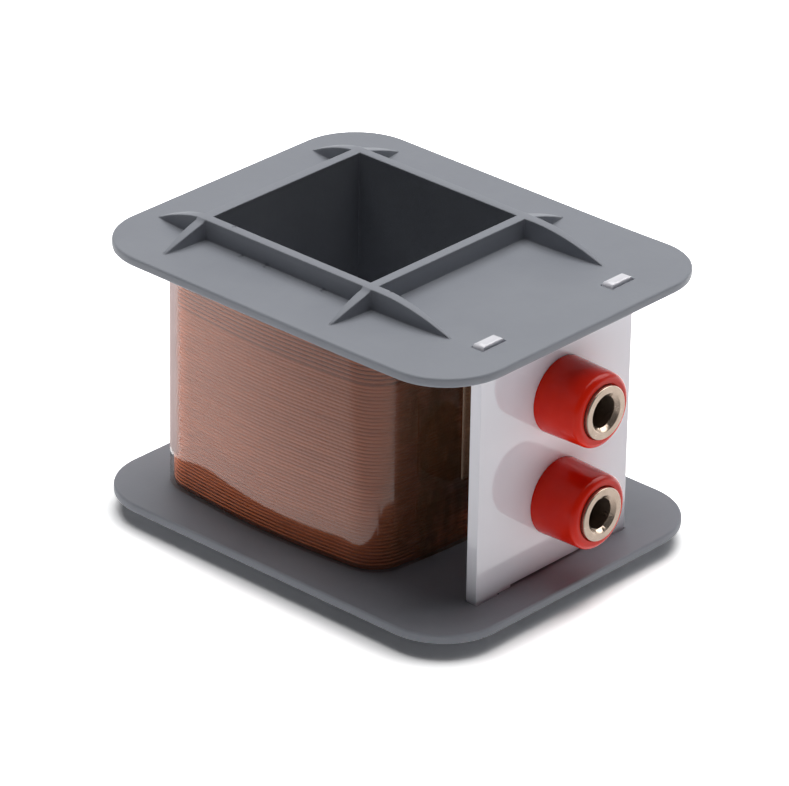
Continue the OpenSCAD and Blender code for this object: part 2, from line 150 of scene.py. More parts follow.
# Painted shadow: this mask fades the floor's glow and its bounced light to none near the flange's outline.
around = nodes.new("ShaderNodeMapRange")
around.interpolation_type = "SMOOTHSTEP"
around.inputs["From Min"].default_value = flange_corner_r + glow_start
around.inputs["From Max"].default_value = flange_corner_r + glow_full
links.new(last, around.inputs["Value"])
painted_shadow_strengths = []
for strength in (floor_bounce, glow_bounce, glow_seen):
    painted_shadow_fade = nodes.new("ShaderNodeMath")
    painted_shadow_fade.operation = "MULTIPLY"
    painted_shadow_fade.inputs[1].default_value = strength
    links.new(around.outputs["Result"], painted_shadow_fade.inputs[0])
    painted_shadow_strengths.append(painted_shadow_fade.outputs[0])
links.new(by_ray(nodes, links, painted_shadow_strengths[0], 0, floor_seen), paper.inputs["Color"])
mirrored = fading(nodes, links, back_to_front, floor_fade, floor_mirrored)
glow = nodes.new("ShaderNodeEmission")
links.new(by_ray(nodes, links, painted_shadow_strengths[1], mirrored, painted_shadow_strengths[2]), glow.inputs["Strength"])
lit_paper = nodes.new("ShaderNodeAddShader")
links.new(paper.outputs[0], lit_paper.inputs[0])
links.new(glow.outputs[0], lit_paper.inputs[1])
links.new(lit_paper.outputs[0], nodes["Material Output"].inputs["Surface"])
floor.data.materials.append(floor_paper)

world = bpy.data.worlds.new("room")
bpy.context.scene.world = world
world.use_nodes = True
nodes, links = world.node_tree.nodes, world.node_tree.links
room = nodes["Background"]
mirrored = nodes.new("ShaderNodeMath")
links.new(fading(nodes, links, back_to_front, room_fade, room_mirrored), mirrored.inputs[0])
links.new(fading(nodes, links, softbox_way, softbox_fade, softbox_mirrored), mirrored.inputs[1])
links.new(by_ray(nodes, links, room_light, mirrored.outputs[0], 1), room.inputs["Strength"])
room.inputs["Color"].default_value = (1, 1, 1, 1)

bpy.ops.object.light_add(type="AREA", location=lamp_place)
lamp = bpy.context.object
lamp.name = "overhead_lamp"
lamp.data.shape = "DISK"
lamp.data.size = lamp_size
lamp.data.energy = lamp_watts
lamp.rotation_euler = (lamp_place - camera_aim).to_track_quat("Z", "Y").to_euler()

# Coil former
# One moulding in dark grey plastic: a square tube for the core with a flange at each end. The tube's walls
# stand over each flange as a rim, and eight ribs carry them on and fall to the flange. Its edges have a few
# small nicks and burrs.
core_opening = 0.0259
wall = 0.00135
rim_h = 0.0023
upper_rim_rise = 0.0004
flange_t = 0.0012
side_rib_l, back_rib_l, front_rib_l = 0.0064, 0.0071, 0.012
side_rib_bulge, back_rib_bulge, front_rib_bulge = 0.00015, 0.0003, 0.00065
rib_tip_h = 0.00008
rib_thinning = 0.75
side_rib_step = 0.0002
side_rib_step_l = 0.0003
rib_cuts = 8
edge_round = 0.0003
seam_round = 0.00012
flange_curl = 0.9
tab_w = 0.0038
tab_inset = 0.0001
slot_clear = 0.00015
wave_h, grain_h = 0.00004, 0.000012
nick_depth = 0.0002
nick_places = (
    ((-0.0134, 0.0090, 0.0397), 0.00035), ((-0.0130, 0.0047, 0.0397), 0.0003),
    ((-0.0131, -0.0166, 0.0396), 0.0004), ((-0.0146, 0.0066, 0.0370), 0.0004),
    ((-0.0145, -0.0068, 0.0370), 0.00045), ((-0.0145, 0.0025, 0.0370), 0.0005),
)
near = 0.00001
former_low, former_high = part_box("coil_former")
plate_low, plate_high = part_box("terminal_plate")
core_half = core_opening / 2
tube_half = core_half + wall
coil_h = former_high.z
low_z = rim_h + flange_t
high_z = coil_h - low_z
flange_top = high_z + flange_t
tab_mids = (plate_low.x + tab_inset + tab_w / 2, plate_high.x - tab_inset - tab_w / 2)


def block(name, low, high):
    """A box between two corners, as a new piece."""
    low, high = Vector(low), Vector(high)
    bpy.ops.mesh.primitive_cube_add(size=1, location=(low + high) / 2, scale=high - low)
    bpy.ops.object.transform_apply()
    bpy.context.object.name = name
    return bpy.context.object


def edit(piece, kind, test):
    """Goes to edit mode with the edges or faces selected that pass a test on their middle and direction."""
    bpy.context.view_layer.objects.active = piece
    bpy.context.tool_settings.mesh_select_mode = (False, kind == "EDGE", kind == "FACE")
    mesh = piece.data
    for part in (mesh.vertices, mesh.edges, mesh.polygons):
        part.foreach_set("select", [False] * len(part))
    if kind == "EDGE":
        for e in mesh.edges:
            a, b = (mesh.vertices[v].co for v in e.vertices)
            e.select = test((a + b) / 2, (b - a).normalized())
    else:
        for f in mesh.polygons:
            f.select = test(f.center, f.normal)
    bpy.ops.object.mode_set(mode="EDIT")


def edit_done():
    bpy.ops.object.mode_set(mode="OBJECT")


def bevel_edges(piece, test, width, segments):
    """Rounds the edges that pass a test."""
    edit(piece, "EDGE", test)
    bpy.ops.mesh.bevel(offset=width, segments=segments, affect="EDGES")
    edit_done()


def cut(piece, axis, places):
    """Scores all faces of a piece along planes square to an axis (0 is X, 1 is Y)."""
    way = Vector((axis == 0, axis == 1, 0))
    for place in places:
        edit(piece, "FACE", lambda at, normal: True)
        bpy.ops.mesh.bisect(plane_co=way * place, plane_no=way, threshold=near / 10)
        edit_done()


def soften(piece, width, segments=2, angle=40):
    """Breaks the sharp edges of a finished piece, and shades it smooth with its flat faces kept flat."""
    bpy.ops.object.select_all(action="DESELECT")
    piece.select_set(True)
    bpy.context.view_layer.objects.active = piece
    bevel = piece.modifiers.new("edges", "BEVEL")
    bevel.width = width
    bevel.segments = segments
    bevel.limit_method = "ANGLE"
    bevel.angle_limit = math.radians(angle)
    bevel.use_clamp_overlap = False
    bpy.ops.object.modifier_apply(modifier=bevel.name)
    bpy.ops.object.shade_smooth()
    flats = piece.modifiers.new("flats", "WEIGHTED_NORMAL")
    flats.weight = 100
    bpy.ops.object.modifier_apply(modifier=flats.name)
    piece.select_set(False)


def in_wall(place, slack=0):
    return core_half - slack < abs(place) < tube_half + slack


def under_rim(at, normal):
    """Whether a face of the flange carries a rim or a rib."""
    along_y = in_wall(at.x) and -tube_half - front_rib_l < at.y < tube_half + back_rib_l
    along_x = in_wall(at.y) and abs(at.x) < tube_half + side_rib_l
    return normal.z > 0.9 and (along_y or along_x)


def rib_at(x, y):
    """Which rib a place over the flange belongs to: (share of its length, bulge, step at its root)."""
    past, length, bulge, step = max(
        (abs(x) - tube_half, side_rib_l, side_rib_bulge, side_rib_step),
        (y - tube_half, back_rib_l, back_rib_bulge, 0),
        (-y - tube_half, front_rib_l, front_rib_bulge, 0),
    )
    return past / length, bulge, step


def shape_ribs(piece):
    """Gives the walls over the flange their height, and thins the ribs towards their tips."""
    for v in piece.data.vertices:
        share, bulge, step = rib_at(v.co.x, v.co.y)
        on_rib = near < share < 1 + near
        if v.co.z > coil_h - near and on_rib:
            height = rib_tip_h + (rim_h - step - rib_tip_h) * (1 - share) + 4 * bulge * share * (1 - share)
            v.co.z = flange_top + min(height, rim_h)
        across = 1 if abs(v.co.x) > tube_half + near else 0
        if on_rib and v.co.z > flange_top - near and in_wall(v.co[across], near):
            middle = math.copysign((core_half + tube_half) / 2, v.co[across])
            v.co[across] = middle + (v.co[across] - middle) * (1 - rib_thinning * share**2)


former = block(
    "coil_former_moulding", (former_low.x, former_low.y, high_z), (former_high.x, former_high.y, flange_top)
)
bevel_edges(former, lambda at, way: abs(way.z) > 0.9, flange_corner_r, 16)
bevel_edges(former, lambda at, way: abs(way.z) < 0.1, edge_round, 3)
side_cuts = [tube_half + side_rib_l * i / rib_cuts for i in range(rib_cuts + 1)]
side_cuts.append(tube_half + side_rib_step_l)
back_cuts = [tube_half + back_rib_l * i / rib_cuts for i in range(rib_cuts + 1)]
front_cuts = [-tube_half - front_rib_l * i / rib_cuts for i in range(rib_cuts + 1)]
slot_ends = [x + s * (tab_w / 2 + slot_clear) for x in tab_mids for s in (-1, 1)]
slot_sides = [plate_low.y - slot_clear, plate_high.y + slot_clear]
cut(former, 0, [s * x for x in (core_half, *side_cuts) for s in (-1, 1)] + slot_ends)
cut(former, 1, [-core_half, core_half, *back_cuts, *front_cuts, *slot_sides])
edit(former, "FACE", under_rim)
bpy.ops.mesh.extrude_region_move(TRANSFORM_OT_translate={"value": (0, 0, rim_h)})
edit_done()
shape_ribs(former)
for x in tab_mids:
    edit(
        former, "FACE",
        lambda at, normal: abs(normal.z) > 0.9
        and abs(at.x - x) < tab_w / 2 + slot_clear
        and slot_sides[0] < at.y < slot_sides[1],
    )
    bpy.ops.mesh.bridge_edge_loops()
    edit_done()
edit(
    former, "FACE",
    lambda at, normal: max(abs(at.x), abs(at.y)) < (core_half if normal.z > 0.9 else tube_half)
    and abs(normal.z) > 0.9,
)
bpy.ops.mesh.delete(type="FACE")
edit_done()
former.data.transform(Matrix.Translation((0, 0, -coil_h / 2)))
lower_half = former.modifiers.new("lower_half", "MIRROR")
lower_half.use_axis = (False, False, True)
lower_half.use_mirror_merge = False
bpy.ops.object.modifier_apply(modifier=lower_half.name)
former.data.transform(Matrix.Translation((0, 0, coil_h / 2)))
for half, ends in ((tube_half, (low_z, high_z)), (core_half, (rim_h, flange_top))):
    edit(
        former, "EDGE",
        lambda at, way: abs(max(abs(at.x), abs(at.y)) - half) < near
        and min(abs(at.z - z) for z in ends) < near,
    )
    bpy.ops.mesh.bridge_edge_loops()
    edit_done()
edit(former, "FACE", lambda at, normal: True)
bpy.ops.mesh.normals_make_consistent(inside=False)
edit_done()
soften(former, seam_round)
for v in former.data.vertices:
    v.co.z = min(max(v.co.z, 0), coil_h)
    if v.co.z > flange_top:
        v.co.z += upper_rim_rise * (v.co.z - flange_top) / rim_h


def curled(piece):
    """Bends what is at the upper flange's front up a little, as the plate under it has pushed it."""
    for v in piece.data.vertices:
        if v.co.z > high_z - near and v.co.y < -tube_half:
            v.co.z += flange_curl * (v.co.y + tube_half) ** 2


curled(former)


def combine(piece, others, operation="UNION"):
    """Joins other pieces to a piece, or cuts them out of it."""
    for other in others:
        modifier = piece.modifiers.new("combine", "BOOLEAN")
        modifier.object = other
        modifier.operation = operation
        modifier.solver = "EXACT"
        bpy.context.view_layer.objects.active = piece
        bpy.ops.object.modifier_apply(modifier=modifier.name)
        bpy.data.objects.remove(other)


def node(mat, kind, **values):
    """A node in a material, with its properties and the values of its inputs set by name."""
    made = mat.node_tree.nodes.new("ShaderNode" + kind)
    for key, value in values.items():
        name = key.replace("_", " ")
        if name in made.inputs:
            made.inputs[name].default_value = value
        else:
            setattr(made, key, value)
    return made


def link(mat, start, end):
    mat.node_tree.links.new(start, end)


def speckle(mat, scale, stretch=(1, 1, 1), detail=4.0, rough=0.6):
    """Noise on the object's own coordinates, in metres: scale is in patches a metre."""
    where = node(mat, "TexCoord")
    squeeze = node(mat, "Mapping", Scale=stretch)
    noise = node(mat, "TexNoise", Scale=scale, Detail=detail, Roughness=rough)
    link(mat, where.outputs["Object"], squeeze.inputs["Vector"])
    link(mat, squeeze.outputs[0], noise.inputs["Vector"])
    return noise.outputs["Fac"]


def ramp(mat, value, dark, light, low=0.3, high=0.7):
    """Colours between dark and light by a value."""
    made = node(mat, "ValToRGB")
    made.color_ramp.elements[0].position = low
    made.color_ramp.elements[1].position = high
    made.color_ramp.elements[0].color = (*dark, 1)
    made.color_ramp.elements[1].color = (*light, 1)
    link(mat, value, made.inputs["Fac"])
    return made.outputs["Color"]


def spread(mat, value, low, high):
    """A value between low and high by a noise."""
    made = node(mat, "MapRange", From_Min=0.3, From_Max=0.7, To_Min=low, To_Max=high)
    link(mat, value, made.inputs["Value"])
    return made.outputs["Result"]


def bumps(mat, value, distance, strength=1.0, before=None):
    """A bump from a height between 0 and 1, in metres."""
    made = node(mat, "Bump", Strength=strength, Distance=distance)
    link(mat, value, made.inputs["Height"])
    if before:
        link(mat, before, made.inputs["Normal"])
    return made.outputs["Normal"]


def surface(name, **values):
    """A material with one Principled shader, whose plain inputs are set by name."""
    mat = bpy.data.materials.new(name)
    mat.use_nodes = True
    shader = mat.node_tree.nodes["Principled BSDF"]
    for key, value in values.items():
        shader.inputs[key.replace("_", " ")].default_value = value
    return mat, shader


def place(piece, mat, node_name, slot):
    """Gives a piece its material, and sets it in the frame in place of a CAD node."""
    piece.data.materials.clear()
    piece.data.materials.append(mat)
    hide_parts(node_name)
    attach(piece, "root")


grey_moulding, shader = surface("grey_moulding", Specular_IOR_Level=0.3)
cloud = speckle(grey_moulding, 90)
grain = speckle(grey_moulding, 2600, detail=2)
tone = ramp(grey_moulding, cloud, (0.262, 0.276, 0.312), (0.300, 0.314, 0.350))
link(grey_moulding, tone, shader.inputs["Base Color"])
link(grey_moulding, spread(grey_moulding, cloud, 0.45, 0.58), shader.inputs["Roughness"])
waves = bumps(grey_moulding, cloud, wave_h)
relief = bumps(grey_moulding, grain, grain_h, before=waves)
for nick, size in nick_places:
    where = node(grey_moulding, "TexCoord")
    away = node(grey_moulding, "VectorMath", operation="DISTANCE")
    away.inputs[1].default_value = nick
    dent = node(grey_moulding, "MapRange", interpolation_type="SMOOTHSTEP", From_Min=size / 4, From_Max=size)
    link(grey_moulding, where.outputs["Object"], away.inputs[0])
    link(grey_moulding, away.outputs["Value"], dent.inputs["Value"])
    relief = bumps(grey_moulding, dent.outputs["Result"], nick_depth, before=relief)
link(grey_moulding, relief, shader.inputs["Normal"])
place(former, grey_moulding, "coil_former", "moulded_grey")

# Winding core
# The layers of enamelled copper wire under the outer one, wound over the square tube, so their sides bulge
# between the corners. They are one ring without turns, which also stands for the varnish between the outer
# turns. Its colour is painted darker where those lie wider apart, as painted shade in the gaps.
winding_half_x, winding_half_y = 0.0171, 0.0184
winding_corner_r = 0.0048
winding_bulge = 0.00085
layers_t = 0.0026
wire_r = 0.00024
groove_depth = 0.00011
wide_turns_z = 0.028
darkening_l = 0.0004
corner_points = 8
face_points = 7


def round_the_coil(inset):
    """Points once round the winding from the front right corner on, as (x, y, share of the way)."""
    r = winding_corner_r - inset
    middle_x, middle_y = winding_half_x - winding_corner_r, winding_half_y - winding_corner_r
    corners = [Vector((sx * middle_x, sy * middle_y)) for sx, sy in ((1, -1), (1, 1), (-1, 1), (-1, -1))]
    points = []
    for i, corner in enumerate(corners):
        for step in range(corner_points):
            a = math.pi / 2 * (i - 1 + step / (corner_points - 1))
            outwards = Vector((math.cos(a), math.sin(a)))
            points.append(corner + r * outwards)
        for step in range(1, face_points + 1):
            along = step / (face_points + 1)
            bulge = winding_bulge * math.sin(math.pi * along)
            points.append(corner.lerp(corners[(i + 1) % 4], along) + (r + bulge) * outwards)
    steps = [(b - a).length for a, b in zip(points, points[1:] + points[:1])]
    return [(p.x, p.y, sum(steps[:i]) / sum(steps)) for i, p in enumerate(points)]


def make_mesh(piece):
    """Turns a curve into a mesh, shaded smooth."""
    bpy.ops.object.select_all(action="DESELECT")
    piece.select_set(True)
    bpy.context.view_layer.objects.active = piece
    bpy.ops.object.convert(target="MESH")
    bpy.ops.object.shade_smooth()
    piece.select_set(False)


def wrap(name, route, low, high, thickness, offset, closed):
    """A standing sheet along a route, thickened to one side or to both."""
    path = bpy.data.curves.new(name, "CURVE")
    path.dimensions = "3D"
    path.extrude = (high - low) / 2
    spline = path.splines.new("POLY")
    spline.points.add(len(route) - 1)
    spline.use_cyclic_u = closed
    for point, at in zip(spline.points, route):
        point.co = (at[0], at[1], 0, 1)
    piece = bpy.data.objects.new(name, path)
    bpy.context.scene.collection.objects.link(piece)
    make_mesh(piece)
    piece.data.transform(Matrix.Translation((0, 0, (high + low) / 2)))
    thicken = piece.modifiers.new("thickness", "SOLIDIFY")
    thicken.thickness = thickness
    thicken.offset = offset
    bpy.context.view_layer.objects.active = piece
    bpy.ops.object.modifier_apply(modifier=thicken.name)
    edit(piece, "FACE", lambda at, normal: True)
    bpy.ops.mesh.remove_doubles(threshold=near)
    bpy.ops.mesh.normals_make_consistent(inside=False)
    edit_done()
    piece.select_set(True)
    bpy.ops.object.shade_smooth_by_angle(angle=math.radians(40))
    piece.select_set(False)
    return piece


def along(mat, axis, start, end):
    """A value that goes from 0 to 1 between two places on an axis of the object."""
    where = node(mat, "TexCoord")
    apart = node(mat, "SeparateXYZ")
    share = node(mat, "MapRange", From_Min=start, From_Max=end)
    link(mat, where.outputs["Object"], apart.inputs[0])
    link(mat, apart.outputs[axis], share.inputs["Value"])
    return share.outputs["Result"]


core_low, core_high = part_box("winding_core")
core_route = round_the_coil(groove_depth + layers_t / 2)
layers = wrap("wound_layers", core_route, core_low.z, core_high.z, layers_t, 0, True)
enamelled, shader = surface(
    "enamelled_copper", Metallic=1.0, Coat_Weight=0.1, Coat_Roughness=0.2, Coat_IOR=1.5
)
varnish = speckle(enamelled, 420, stretch=(1, 1, 3))
streaks = speckle(enamelled, 60, stretch=(1, 1, 14), detail=5)
tone = ramp(enamelled, streaks, (0.37, 0.097, 0.036), (0.48, 0.138, 0.051))
link(enamelled, tone, shader.inputs["Base Color"])
link(enamelled, spread(enamelled, varnish, 0.28, 0.42), shader.inputs["Roughness"])
under_turns, shader = surface("copper_under_turns", Metallic=1.0, Roughness=0.35)
# Painted shade: darker above the height where the outer turns lie wider apart, for the shade between them.
painted_gap_shade = along(under_turns, "Z", wide_turns_z, wide_turns_z + darkening_l)
tone = ramp(under_turns, painted_gap_shade, (0.42, 0.118, 0.044), (0.18, 0.045, 0.016), 0, 1)
link(under_turns, tone, shader.inputs["Base Color"])
place(layers, under_turns, "winding_core", "copper_wire")

# Outer layer of turns
# One wire of enamelled copper, 0.45 mm thick bare, wound close from the lower flange up. Near the top the
# turns were laid wider apart, so dark lines show between them, deepened by painted shade on the layer below.
turn_start_x = 0.004
close_turns, wide_turns = 51, 13
wide_share = 1.13
gap_share = 0.4
gap_start_share = 0.1
wander_share = 0.06
flange_play = 0.0001
first_z = low_z + flange_play + wire_r
last_z = high_z - flange_play - wire_r
pitch = (last_z - first_z) / (close_turns + wide_share * wide_turns + gap_share)


def turn_height(turns):
    """How high the wire lies after a number of turns, with a gap where the wide turns begin."""
    wide = max(0, turns - close_turns)
    return first_z + pitch * (turns + (wide_share - 1) * wide + gap_share * min(1, wide / gap_start_share))


random.seed(11)
around = round_the_coil(wire_r)
front_y = -winding_half_y - winding_bulge + wire_r
turn_points = [(turn_start_x, front_y, first_z)]
for turn in range(close_turns + wide_turns):
    wander = [random.uniform(-wander_share, wander_share) for quarter in range(4)]
    for x, y, share in around:
        lift_share = wander[int(share * 4) % 4]
        turn_points.append((x, y, turn_height(turn + share) + lift_share * wire_r))
turn_points = [p for p in turn_points if p[2] < last_z]
turn_points.append((turn_start_x, front_y, last_z))
wire_path = bpy.data.curves.new("wound_wire", "CURVE")
wire_path.dimensions = "3D"
wire_path.bevel_depth = wire_r
wire_path.bevel_resolution = 2
wire_path.use_fill_caps = True
wire_path.twist_mode = "Z_UP"
spline = wire_path.splines.new("POLY")
spline.points.add(len(turn_points) - 1)
for point, at in zip(spline.points, turn_points):
    point.co = (*at, 1)
turns = bpy.data.objects.new("outer_turns", wire_path)
bpy.context.scene.collection.objects.link(turns)
make_mesh(turns)
place(turns, enamelled, "winding_outer_layer", "copper_wire")

# Leads and their sleeves
# The two ends of the wire, bent to the solder tags, each in a soft insulating sleeve slid over it.
# Their solids have the real route and thickness already.
sleeve_light_depths = (0.001, 0.0006, 0.0003)
for name in ("start_lead", "end_lead"):
    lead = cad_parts[name]
    lead.data.materials.clear()
    lead.data.materials.append(enamelled)
sleeving, shader = surface(
    "lead_sleeving", Roughness=0.5, Subsurface_Weight=0.1, Subsurface_Radius=sleeve_light_depths
)
tube_cloud = speckle(sleeving, 500)
tone = ramp(sleeving, tube_cloud, (0.62, 0.50, 0.20), (0.74, 0.62, 0.30))
link(sleeving, tone, shader.inputs["Base Color"])
for name in ("start_lead_sleeve", "end_lead_sleeve"):
    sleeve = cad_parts[name]
    sleeve.data.materials.clear()
    sleeve.data.materials.append(sleeving)

# Cover film
# Clear plastic film wrapped once round the winding with a short overlap at the front. It stands a little
# off the copper, mirrors the white room, has a pale sheen painted on at a slant from about 8 mm up, and
# has brown smears of glue on its front and two faint creases.
film_t = 0.00012
film_gap = 0.0004
overlap_share = 0.045
film_head_on = 0.052
ripple_h = 0.00002
crease_places = (0.0023, 0.0068)
crease_way = (0.672, -0.741, 0)
crease_half_w = 0.00012
glue_start_y, glue_full_y = -0.0175, -0.0192
smear_strength = 0.2
painted_sheen_low, painted_sheen_high = 0.0079, 0.0086
painted_sheen_slants, painted_sheen_strength = (0.44, 0.58), 0.9
film_low, film_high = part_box("cover_film")
film_route = [
    (x * (1 + film_t * (lap + share) / winding_half_x), y * (1 + film_t * (lap + share) / winding_half_x))
    for lap in range(2)
    for x, y, share in round_the_coil(-film_gap)
    if lap + share <= 1 + overlap_share
]
film = wrap("clear_film", film_route, film_low.z, film_high.z, film_t / 2, 0, False)


def mixed(mat, share, first, second):
    """Two shaders mixed by a share."""
    blend = node(mat, "MixShader")
    link(mat, share, blend.inputs["Fac"])
    link(mat, first, blend.inputs[1])
    link(mat, second, blend.inputs[2])
    return blend.outputs[0]


def see_through(mat, tint, mirror, head_on):
    """A shader that lets what is behind it through, with a mirror's share that grows at a slant."""
    slant = node(mat, "LayerWeight", Blend=0.5)
    steep = node(mat, "Math", operation="POWER")
    steep.inputs[1].default_value = 5.0
    link(mat, slant.outputs["Facing"], steep.inputs[0])
    share = node(mat, "MapRange", To_Min=head_on, To_Max=1.0)
    link(mat, steep.outputs[0], share.inputs["Value"])
    clear = node(mat, "BsdfTransparent")
    link(mat, tint, clear.inputs["Color"])
    return mixed(mat, share.outputs["Result"], clear.outputs[0], mirror)


def product(mat, first, second):
    """Two values multiplied."""
    made = node(mat, "Math", operation="MULTIPLY")
    for socket, value in zip(made.inputs, (first, second)):
        if isinstance(value, bpy.types.NodeSocket):
            link(mat, value, socket)
        else:
            socket.default_value = value
    return made.outputs[0]


clear_film, shader = surface("clear_film")
clear_film.node_tree.nodes.remove(shader)
gloss = node(clear_film, "BsdfGlossy", Roughness=0.06)
ripple = speckle(clear_film, 160, stretch=(1, 1, 0.06), detail=2)
relief = bumps(clear_film, ripple, ripple_h)
for crease in crease_places:
    where = node(clear_film, "TexCoord")
    sideways = node(clear_film, "VectorMath", operation="DOT_PRODUCT")
    sideways.inputs[1].default_value = crease_way
    away = node(clear_film, "Math", operation="SUBTRACT")
    away.inputs[1].default_value = crease
    apart = node(clear_film, "Math", operation="ABSOLUTE")
    fold = node(clear_film, "MapRange", From_Min=0, From_Max=crease_half_w, To_Min=1, To_Max=0)
    link(clear_film, where.outputs["Object"], sideways.inputs[0])
    link(clear_film, sideways.outputs["Value"], away.inputs[0])
    link(clear_film, away.outputs[0], apart.inputs[0])
    link(clear_film, apart.outputs[0], fold.inputs["Value"])
    relief = bumps(clear_film, fold.outputs["Result"], ripple_h, before=relief)
link(clear_film, relief, gloss.inputs["Normal"])
smears = speckle(clear_film, 230, stretch=(1, 1, 0.5), detail=3)
glue = product(clear_film, along(clear_film, "Y", glue_start_y, glue_full_y), smears)
film_tint = ramp(clear_film, glue, (0.97, 0.96, 0.95), (0.66, 0.58, 0.48), 0.38, 0.64)
bare_film = see_through(clear_film, film_tint, gloss.outputs[0], film_head_on)
smear = node(clear_film, "BsdfDiffuse", Color=(0.5, 0.28, 0.15, 1))
smeared_film = mixed(clear_film, product(clear_film, glue, smear_strength), bare_film, smear.outputs[0])
# Painted sheen: a pale diffuse share at a slant stands in for the film's edges mirroring the white room. It
# is left out below about 8 mm, where the flange stands behind those edges as the camera sees them.
slant = node(clear_film, "LayerWeight", Blend=0.5)
edge_on = node(
    clear_film, "MapRange", interpolation_type="SMOOTHSTEP",
    From_Min=painted_sheen_slants[0], From_Max=painted_sheen_slants[1], To_Max=painted_sheen_strength,
)
link(clear_film, slant.outputs["Facing"], edge_on.inputs["Value"])
above_flange = along(clear_film, "Z", painted_sheen_low, painted_sheen_high)
painted_sheen_share = product(clear_film, edge_on.outputs["Result"], above_flange)
painted_sheen = node(clear_film, "BsdfDiffuse", Color=(0.9, 0.71, 0.69, 1))
film_with_painted_sheen = mixed(clear_film, painted_sheen_share, smeared_film, painted_sheen.outputs[0])
link(clear_film, film_with_painted_sheen, clear_film.node_tree.nodes["Material Output"].inputs["Surface"])
place(film, clear_film, "cover_film", "clear_film")

# Closing tape
# A strip of translucent tape over the film's free end, from the upper flange down. Only its left edge shows
# past the terminal plate, and the last half millimetre of it is painted lighter, a painted highlight.
tape_start_x, tape_end_z = -0.0039, 0.0126
tape_t = 0.0002
edge_highlight_w = 0.0005
tape_head_on = 0.3
tape_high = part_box("closing_tape")[1]
tape_back = -(winding_half_y + winding_bulge + film_gap + 2 * film_t)
tape = block(
    "tape_strip", (tape_start_x, tape_back - tape_t, tape_end_z), (tape_high.x, tape_back, tape_high.z)
)
clear_tape, shader = surface("clear_tape")
clear_tape.node_tree.nodes.remove(shader)
milky = node(clear_tape, "BsdfDiffuse")
# Painted highlight: the colour turns lighter over the last half millimetre towards the tape's left edge.
painted_edge_highlight = along(clear_tape, "X", tape_start_x + edge_highlight_w, tape_start_x)
tone = ramp(clear_tape, painted_edge_highlight, (0.55, 0.36, 0.24), (1.0, 0.78, 0.62), 0, 1)
link(clear_tape, tone, milky.inputs["Color"])
fibres = speckle(clear_tape, 300, stretch=(1, 1, 0.1))
tape_tint = ramp(clear_tape, fibres, (0.95, 0.86, 0.74), (1.0, 0.92, 0.82))
milky_tape = see_through(clear_tape, tape_tint, milky.outputs[0], tape_head_on)
link(clear_tape, milky_tape, clear_tape.node_tree.nodes["Material Output"].inputs["Surface"])
place(tape, clear_tape, "closing_tape", "clear_tape")

# Terminal plate
# White glossy plastic, caught between the flanges: it stands on shoulders beside four tabs with round ends
# that go through the flanges' slots.
plate_edge = 0.00005
plate_wave_h = 0.000008
foot_w = 0.0062
foot_h = 0.0003
tab_proud = 0.0005
tab_side_round = 0.0004
tab_end_round = 0.0007
overrun = 0.0002
tab_h = flange_t + tab_proud + overrun
shank_hole_r = 0.0031
socket_x = 0.0008
upper_socket_z = 0.02645
lower_socket_z = 0.01285
plate = block("white_plate", (plate_low.x, plate_low.y, low_z), (plate_high.x, plate_high.y, high_z))
relief_low = Vector((plate_low.x + foot_w, plate_low.y - overrun, 0))
relief_high = Vector((plate_high.x - foot_w, plate_high.y + overrun, 2 * foot_h))
relief_places = (low_z - foot_h, high_z - foot_h)


def round_bar(name, r, z, y0, y1, vertices=64):
    """A cylinder on a socket's axis, from y0 to y1."""
    bpy.ops.mesh.primitive_cylinder_add(
        vertices=vertices, radius=r, depth=abs(y1 - y0), end_fill_type="NGON",
        location=(socket_x, (y0 + y1) / 2, z), rotation=(math.pi / 2, 0, 0),
    )
    bpy.ops.object.transform_apply()
    bpy.context.object.name = name
    return bpy.context.object


def tab(x, up):
    base_z = high_z - overrun if up > 0 else low_z + overrun - tab_h
    top_z = base_z + tab_h if up > 0 else base_z
    nub = block("tab", (x - tab_w / 2, plate_low.y, base_z), (x + tab_w / 2, plate_high.y, base_z + tab_h))
    bevel_edges(nub, lambda at, way: abs(way.y) > 0.9 and abs(at.z - top_z) < overrun, tab_end_round, 4)
    bevel_edges(nub, lambda at, way: abs(way.x) > 0.9 and abs(at.z - top_z) < overrun, tab_side_round, 3)
    return nub


for z in (lower_socket_z, upper_socket_z):
    hole = round_bar("hole", shank_hole_r, z, plate_low.y - overrun, plate_high.y + overrun)
    combine(plate, [hole], "DIFFERENCE")
for z in relief_places:
    up = Vector((0, 0, z))
    combine(plate, [block("relief", relief_low + up, relief_high + up)], "DIFFERENCE")
combine(plate, [tab(x, up) for x in tab_mids for up in (-1, 1)])
edit(plate, "FACE", lambda at, normal: True)
bpy.ops.mesh.remove_doubles(threshold=near)
bpy.ops.mesh.dissolve_limited(angle_limit=math.radians(1))
edit_done()
soften(plate, plate_edge)
curled(plate)
white_plastic, shader = surface("white_plastic", Roughness=0.05, Specular_IOR_Level=0.8)
milk = speckle(white_plastic, 70)
tone = ramp(white_plastic, milk, (0.89, 0.88, 0.95), (0.93, 0.92, 0.98))
link(white_plastic, tone, shader.inputs["Base Color"])
link(white_plastic, bumps(white_plastic, milk, plate_wave_h), shader.inputs["Normal"])
place(plate, white_plastic, "terminal_plate", "white_plastic")

